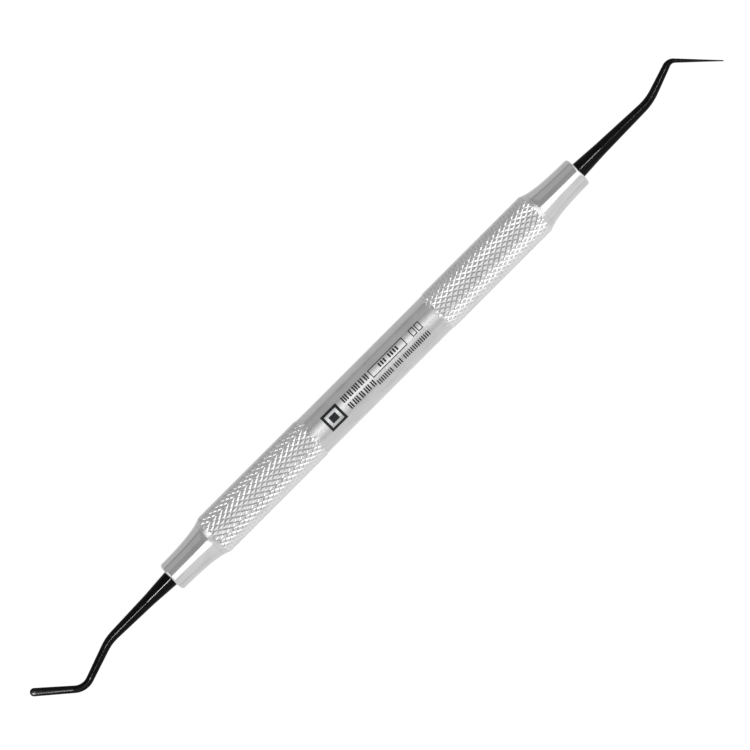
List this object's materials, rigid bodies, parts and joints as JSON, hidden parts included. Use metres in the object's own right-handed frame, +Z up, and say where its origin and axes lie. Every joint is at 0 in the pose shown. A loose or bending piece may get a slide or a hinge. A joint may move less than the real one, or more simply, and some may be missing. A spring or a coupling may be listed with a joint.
{
  "type": "dental filling spatula",
  "caption": "Double-ended hand instrument: hollow steel handle with knurled grips, tapered nose cones, and thin black-coated round-ended blades on bent shanks.",
  "frame": {"origin": "under the middle of the handle, on the surface that the knurled bands lie on", "axes": "+X along the handle to the front end, whose blade stands on edge; +Y across it in the plane that both shanks are bent in; +Z up from the surface"},
  "size_m": [0.167, 0.0087, 0.0083],
  "materials": {
    "satin_steel": "satin turned stainless steel, knurled on the grips, with dark laser marks on the smooth middle",
    "polished_steel": "fine polished stainless steel",
    "black_coating": "smooth hard black non-stick coating on steel, glossy"
  },
  "bodies": {
    "root": {"handle_tube": "satin_steel", "front_nose_cone": "polished_steel", "rear_nose_cone": "polished_steel", "front_working_end": "black_coating", "rear_working_end": "black_coating"}
  },
  "joints": []
}
